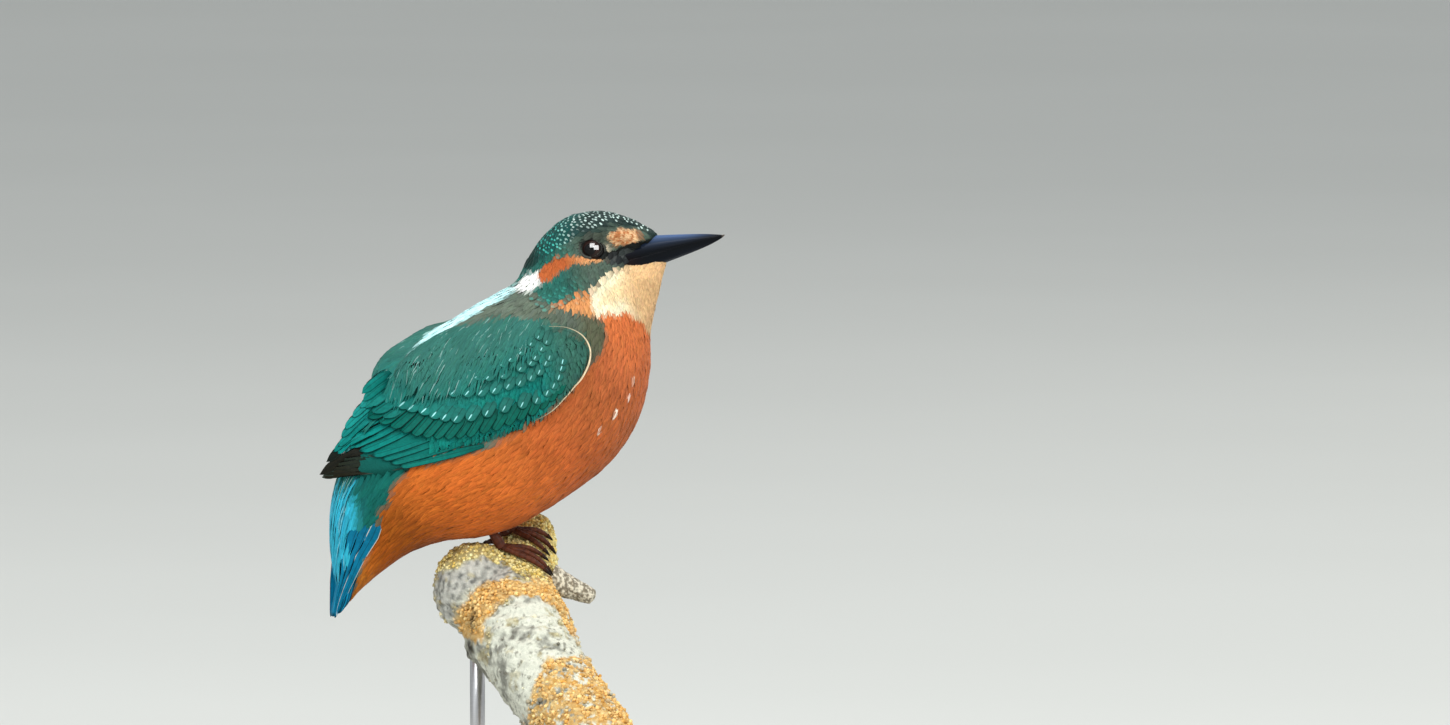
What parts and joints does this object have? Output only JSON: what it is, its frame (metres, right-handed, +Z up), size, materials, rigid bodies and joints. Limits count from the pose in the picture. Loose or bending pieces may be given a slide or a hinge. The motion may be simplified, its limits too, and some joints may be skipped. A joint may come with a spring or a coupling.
{
  "type": "young common kingfisher on a cut perch, life-size display model",
  "caption": "Still life-size kingfisher with a short dark bill, gripping a lichen-covered branch held by rods on a plain round base.",
  "frame": {"origin": "middle of the round base's underside", "axes": "+Z up; +X is the way the bird's trunk faces; +Y is the bird's left"},
  "size_m": [0.1093, 0.109, 0.1717],
  "materials": {
    "plumage_head": "matt feathers",
    "plumage_body": "soft matt feathers",
    "plumage_wing": "satin feathers",
    "plumage_tail": "satin feathers",
    "bill": "horn, semi-gloss",
    "eye": "wet gloss",
    "foot": "scaled skin, satin",
    "claw": "horn, semi-gloss",
    "bark": "rough bark with lichen",
    "stand_wood": "satin varnish",
    "stand_steel": "brushed"
  },
  "bodies": {
    "root": {"head": "plumage_head", "neck": "plumage_body", "trunk": "plumage_body", "tail_coverts_upper": "plumage_tail", "tail_coverts_under": "plumage_body", "tail": "plumage_tail", "bill_upper": "bill", "bill_lower": "bill", "eye_left": "eye", "eye_right": "eye", "wing_coverts_left": "plumage_wing", "wing_coverts_right": "plumage_wing", "wing_quills_left": "plumage_wing", "wing_quills_right": "plumage_wing", "leg_left": "plumage_body", "leg_right": "plumage_body", "foot_left": "foot", "foot_right": "foot", "claw_inner_left": "claw", "claw_middle_left": "claw", "claw_outer_left": "claw", "claw_hind_left": "claw", "claw_inner_right": "claw", "claw_middle_right": "claw", "claw_outer_right": "claw", "claw_hind_right": "claw", "perch_branch": "bark", "perch_twig": "bark", "stand_rod_far": "stand_steel", "stand_rod_near": "stand_steel", "stand_base": "stand_wood"}
  },
  "joints": []
}
